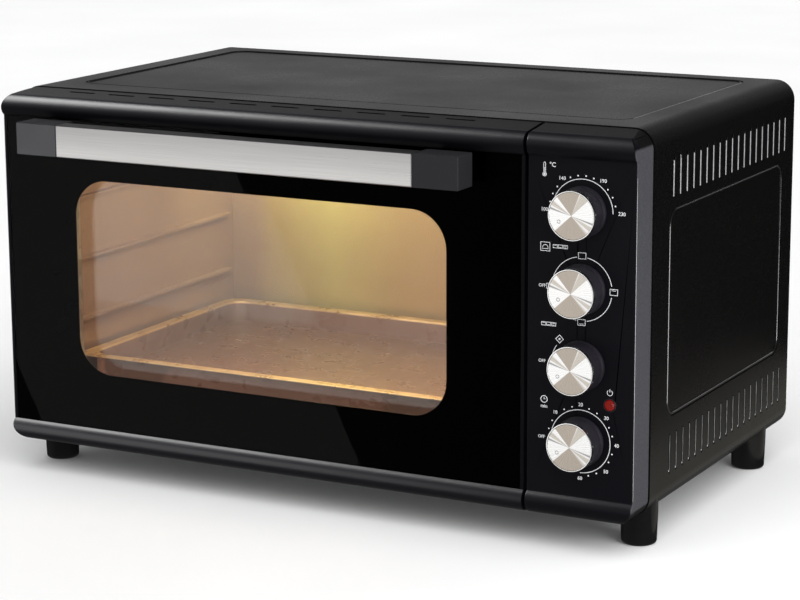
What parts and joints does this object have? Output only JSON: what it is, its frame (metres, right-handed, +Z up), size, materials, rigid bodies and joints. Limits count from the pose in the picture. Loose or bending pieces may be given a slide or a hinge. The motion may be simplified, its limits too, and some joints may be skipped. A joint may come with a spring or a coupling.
{
  "type": "toaster oven",
  "caption": "Counter-top toaster oven with a drop-down glass door, bar handle and a column of four rotary controls beside a lit cavity.",
  "frame": {"origin": "on the worktop, at the middle of the footprint from the handle's face to the cable gland", "axes": "+X to the right seen from the front, -Y out of the door, +Z up"},
  "size_m": [0.56, 0.37, 0.319],
  "materials": {
    "shell_paint": "satin black powder coat",
    "front_plastic": "fine-grained satin black moulding",
    "handle_plastic": "dark grey moulding",
    "foot_plastic": "smooth black moulding",
    "knob_plastic": "smooth black moulding",
    "spun_metal": "spun, radial sheen",
    "brushed_bar": "brushed along its length",
    "clear_glass": "clear tempered",
    "black_print": "baked black print",
    "white_print": "white pad-printed scales, numbers and symbols",
    "cavity_sheet": "golden heat-resistant coat",
    "zinc_sheet": "zinc-plated sheet",
    "chrome_wire": "bright plated",
    "heater_tube": "oxidised sheathed rod",
    "ceramic": "off-white ceramic",
    "tray_enamel": "dark enamel with a golden rim",
    "motor_steel": "grey lacquered core",
    "switch_plastic": "black moulding",
    "lens_red": "translucent dark red",
    "bulb_glass": "warm clear glass",
    "bell_brass": "plated bell"
  },
  "bodies": {
    "root": {"outer_shell": "shell_paint", "rear_cover": "shell_paint", "rear_screws": "zinc_sheet", "base_plate": "zinc_sheet", "front_frame": "zinc_sheet", "front_feet": "foot_plastic", "rear_feet": "foot_plastic", "cavity_left_wall": "cavity_sheet", "cavity_right_wall": "cavity_sheet", "cavity_top": "cavity_sheet", "cavity_floor": "cavity_sheet", "cavity_back": "cavity_sheet", "upper_heaters": "heater_tube", "lower_heaters": "heater_tube", "heater_insulators": "ceramic", "lamp_holder": "ceramic", "lamp_bulb": "bulb_glass", "lamp_cover": "clear_glass", "fan_housing": "zinc_sheet", "fan_motor": "motor_steel", "control_panel": "front_plastic", "control_bracket": "zinc_sheet", "thermostat": "ceramic", "function_switch": "switch_plastic", "fan_switch": "switch_plastic", "timer": "zinc_sheet", "timer_bell": "bell_brass", "indicator_lens": "lens_red", "terminal_block": "ceramic", "cable_gland": "foot_plastic", "crumb_tray": "zinc_sheet", "wire_rack": "chrome_wire", "baking_tray": "tray_enamel", "hinge_brackets": "zinc_sheet"},
    "door": {"door_frame": "front_plastic", "door_top_rail": "front_plastic", "door_bottom_rail": "front_plastic", "outer_glass": "clear_glass", "window_mask": "black_print", "inner_glass": "clear_glass", "door_liner": "zinc_sheet", "handle_bar": "brushed_bar", "handle_left_end": "handle_plastic", "handle_right_end": "handle_plastic", "handle_screws": "zinc_sheet", "hinge_pins": "chrome_wire"},
    "temperature_control": {"temperature_knob": "knob_plastic", "temperature_cap": "spun_metal", "temperature_shaft": "zinc_sheet"},
    "function_control": {"function_knob": "knob_plastic", "function_cap": "spun_metal", "function_shaft": "zinc_sheet"},
    "fan_control": {"fan_knob": "knob_plastic", "fan_cap": "spun_metal", "fan_knob_shaft": "zinc_sheet"},
    "timer_control": {"timer_knob": "knob_plastic", "timer_cap": "spun_metal", "timer_shaft": "zinc_sheet"},
    "fan_rotor": {"fan_shaft": "chrome_wire", "convection_fan": "zinc_sheet"}
  },
  "joints": [
    {"name": "door_hinge", "type": "hinge", "parent": "root", "child": "door", "pos_m": [-0.0446, -0.1283, 0.0333], "axis": [1, 0, 0], "range_deg": [0, 84]},
    {"name": "temperature_turn", "type": "hinge", "parent": "root", "child": "temperature_control", "pos_m": [0.23625, -0.15, 0.2594], "axis": [0, 1, 0], "range_deg": [0, 180]},
    {"name": "function_turn", "type": "hinge", "parent": "root", "child": "function_control", "pos_m": [0.23625, -0.15, 0.2018], "axis": [0, 1, 0], "range_deg": [0, 270]},
    {"name": "fan_switch_turn", "type": "hinge", "parent": "root", "child": "fan_control", "pos_m": [0.23625, -0.15, 0.1442], "axis": [0, 1, 0], "range_deg": [0, 45]},
    {"name": "timer_turn", "type": "hinge", "parent": "root", "child": "timer_control", "pos_m": [0.23625, -0.15, 0.0866], "axis": [0, 1, 0], "range_deg": [0, 270]},
    {"name": "fan_spin", "type": "hinge", "parent": "root", "child": "fan_rotor", "pos_m": [0.1664, 0.0678, 0.1832], "axis": [1, 0, 0], "continuous": true}
  ]
}
